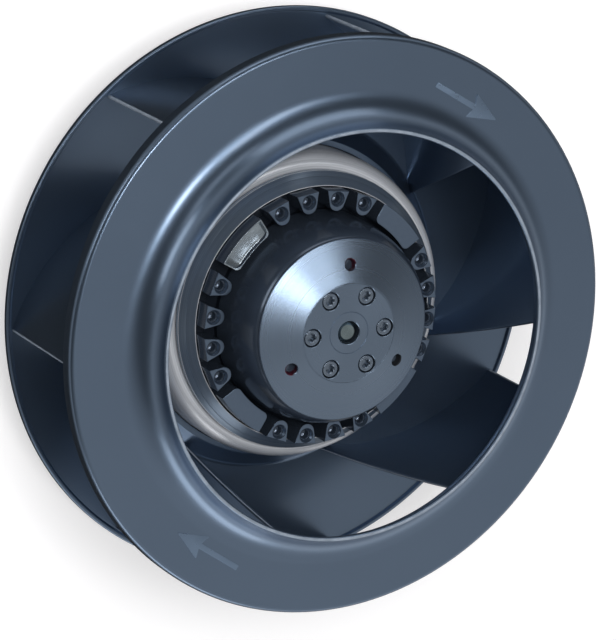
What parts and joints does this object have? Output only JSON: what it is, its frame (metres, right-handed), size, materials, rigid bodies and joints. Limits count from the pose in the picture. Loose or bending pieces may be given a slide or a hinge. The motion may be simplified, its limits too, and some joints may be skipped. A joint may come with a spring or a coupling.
{
  "type": "centrifugal fan",
  "caption": "Backward-curved centrifugal fan: shrouded impeller wheel on an external-rotor motor, with curved inlet ring, back plate and rear mounting flange.",
  "frame": {"origin": "centre of the stator flange's rear mounting face, on the fan axis", "axes": "+Z along the fan axis, out of the inlet; +X towards one hub screw"},
  "size_m": [0.25, 0.25, 0.104],
  "materials": {
    "painted_steel": "satin slate-blue paint",
    "cast_bell": "dark die casting with a turned face",
    "turned_steel": "bright turned ring",
    "bare_aluminium": "bare die casting",
    "screw_steel": "dark zinc finish",
    "ground_steel": "ground",
    "cage_polymer": "moulded",
    "laminated_steel": "punched edges",
    "varnished_winding": "red-brown varnish over copper wire",
    "rubber": "matte black"
  },
  "bodies": {
    "stator": {"stator_flange": "bare_aluminium", "stator_core": "laminated_steel", "front_winding": "varnished_winding", "rear_winding": "varnished_winding", "front_bearing_outer_ring": "ground_steel", "rear_bearing_outer_ring": "ground_steel", "bearing_retaining_ring": "screw_steel", "preload_spring": "ground_steel", "cable_grommet": "rubber"},
    "impeller": {"front_shroud": "painted_steel", "back_plate": "painted_steel", "blade_1": "painted_steel", "blade_2": "painted_steel", "blade_3": "painted_steel", "blade_4": "painted_steel", "blade_5": "painted_steel", "blade_6": "painted_steel", "blade_7": "painted_steel", "rotor_bell": "cast_bell", "rotor_core": "turned_steel", "rotor_end_ring": "bare_aluminium", "shaft_hub": "ground_steel", "shaft": "ground_steel", "hub_screw_1": "screw_steel", "hub_screw_2": "screw_steel", "hub_screw_3": "screw_steel", "hub_screw_4": "screw_steel", "hub_screw_5": "screw_steel", "hub_screw_6": "screw_steel", "impeller_screw_1": "screw_steel", "impeller_screw_2": "screw_steel", "impeller_screw_3": "screw_steel", "impeller_screw_4": "screw_steel", "impeller_screw_5": "screw_steel", "impeller_screw_6": "screw_steel", "shaft_clip": "screw_steel", "front_bearing_inner_ring": "ground_steel", "rear_bearing_inner_ring": "ground_steel"},
    "front_ball_cage": {"front_bearing_cage": "cage_polymer"},
    "rear_ball_cage": {"rear_bearing_cage": "cage_polymer"}
  },
  "joints": [
    {"name": "rotor_spin", "type": "hinge", "parent": "stator", "child": "impeller", "pos_m": [0, 0, 0.05], "axis": [0, 0, -1], "continuous": true},
    {"name": "front_cage_spin", "type": "hinge", "parent": "stator", "child": "front_ball_cage", "pos_m": [0, 0, 0.0603], "axis": [0, 0, -1], "continuous": true},
    {"name": "rear_cage_spin", "type": "hinge", "parent": "stator", "child": "rear_ball_cage", "pos_m": [0, 0, 0.014], "axis": [0, 0, -1], "continuous": true}
  ],
  "couplings": [
    {"joint": "front_cage_spin", "follows": "rotor_spin", "ratio": 0.3678},
    {"joint": "rear_cage_spin", "follows": "rotor_spin", "ratio": 0.3678}
  ]
}
